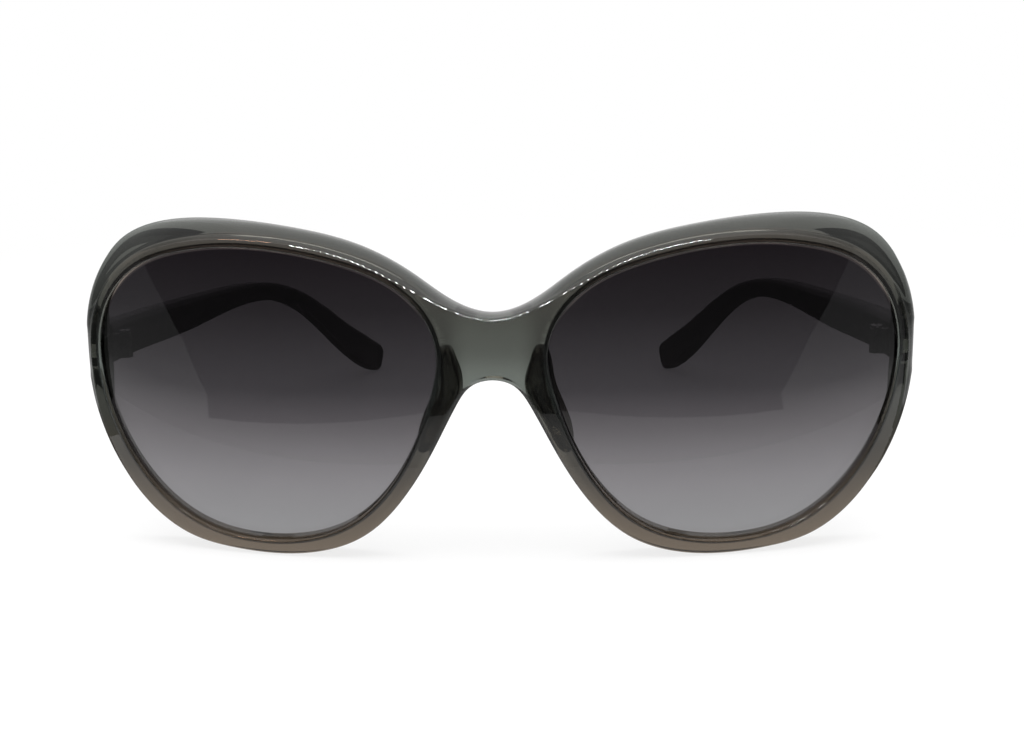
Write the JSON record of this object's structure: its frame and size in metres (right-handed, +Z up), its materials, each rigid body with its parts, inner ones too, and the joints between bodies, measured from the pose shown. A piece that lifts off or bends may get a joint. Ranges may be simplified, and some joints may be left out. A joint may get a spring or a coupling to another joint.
{
  "type": "oversized sunglasses",
  "caption": "Oversized rounded sunglasses with a glossy translucent front, gradient tinted lenses, nose pads and folding arms on barrel hinges.",
  "frame": {"origin": "on the table under the middle of the sunglasses' bounding box, with the arms open", "axes": "+Z up, +X to the wearer's left across the front, +Y from the front back along the arms"},
  "size_m": [0.147, 0.1339, 0.0593],
  "materials": {
    "front_plastic": "polished translucent grey, browner towards the foot",
    "lens_tint": "polished smoke tint, dark at the top and pale at the foot",
    "pad_plastic": "polished translucent dark grey",
    "arm_plastic": "polished near black",
    "core_wire": "drawn",
    "hinge_metal": "tumbled",
    "screw_metal": "bright"
  },
  "bodies": {
    "front": {"front_frame": "front_plastic", "left_lens": "lens_tint", "left_nose_pad": "pad_plastic", "left_front_leaf": "hinge_metal", "left_hinge_screw": "screw_metal", "right_lens": "lens_tint", "right_nose_pad": "pad_plastic", "right_front_leaf": "hinge_metal", "right_hinge_screw": "screw_metal"},
    "left_arm": {"left_temple": "arm_plastic", "left_temple_leaf": "hinge_metal", "left_temple_core": "core_wire"},
    "right_arm": {"right_temple": "arm_plastic", "right_temple_leaf": "hinge_metal", "right_temple_core": "core_wire"}
  },
  "joints": [
    {"name": "left_arm_fold", "type": "hinge", "parent": "front", "child": "left_arm", "pos_m": [0.0667, -0.04707, 0.0351], "axis": [0, 0, 1], "range_deg": [0, 76]},
    {"name": "right_arm_fold", "type": "hinge", "parent": "front", "child": "right_arm", "pos_m": [-0.0667, -0.04707, 0.0351], "axis": [0, 0, -1], "range_deg": [0, 70]}
  ]
}
